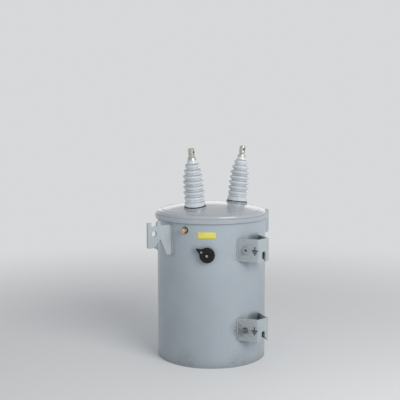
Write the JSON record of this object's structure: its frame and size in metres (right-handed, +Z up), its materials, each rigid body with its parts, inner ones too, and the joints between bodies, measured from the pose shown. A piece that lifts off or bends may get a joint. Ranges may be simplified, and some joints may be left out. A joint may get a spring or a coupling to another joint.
{
  "type": "pole mounted transformer",
  "caption": "Single-phase oil-filled transformer in a round steel tank, with a domed clamped cover, shedded porcelain bushings, pole brackets, lifting lugs and a rotary tap changer.",
  "frame": {"origin": "middle of the tank's lower edge, on the floor", "axes": "+Z up along the tank's axis, +Y towards the pole, +X to the right as seen from the low voltage side, which is -Y"},
  "size_m": [0.5916, 0.529, 0.7779],
  "materials": {
    "enamel": "glossy light blue-grey enamel",
    "bracket_enamel": "light grey enamel, satin",
    "gasket": "dull black",
    "porcelain": "glossy pale grey glaze",
    "tinned_bronze": "tinned, dull silver",
    "zinc": "zinc plated",
    "black_plastic": "dark moulded plastic, satin",
    "core_steel": "varnished steel and paper, hidden inside the tank",
    "brass": "plain brass, slightly dull"
  },
  "bodies": {
    "tank": {"tank_wall": "enamel", "tank_bottom": "enamel", "core_and_coils": "core_steel", "cover_gasket": "gasket", "cover": "enamel", "clamp_band": "enamel", "band_bolt": "zinc", "hv_bushing_left": "porcelain", "hv_bushing_right": "porcelain", "hv_gasket_left": "gasket", "hv_gasket_right": "gasket", "hv_terminal_left": "tinned_bronze", "hv_terminal_right": "tinned_bronze", "lv_bushing_1": "porcelain", "lv_bushing_2": "porcelain", "lv_bushing_3": "porcelain", "lv_gaskets": "gasket", "lv_terminal_1": "tinned_bronze", "lv_terminal_2": "tinned_bronze", "lv_terminal_3": "tinned_bronze", "upper_pole_bracket": "bracket_enamel", "lower_pole_bracket": "bracket_enamel", "lifting_lug_right": "bracket_enamel", "lifting_lug_left": "bracket_enamel", "tap_flange": "black_plastic", "relief_valve_body": "brass", "earth_boss_upper": "enamel", "earth_boss_lower": "enamel", "earth_boss_tank": "enamel", "earth_bolt": "zinc"},
    "tap_changer": {"tap_handle": "black_plastic", "tap_screws": "zinc"},
    "valve_pull": {"relief_valve_stem": "brass"}
  },
  "joints": [
    {"name": "tap_changer_turn", "type": "hinge", "parent": "tank", "child": "tap_changer", "pos_m": [0.15086, 0.13583, 0.4105], "axis": [0.7431, 0.6691, 0], "range_deg": [-120, 0]},
    {"name": "relief_valve_pull", "type": "slide", "parent": "tank", "child": "valve_pull", "axis": [0.9455, 0.3256, 0], "range_m": [0, 0.004], "stiffness_N_per_m": 1200}
  ]
}
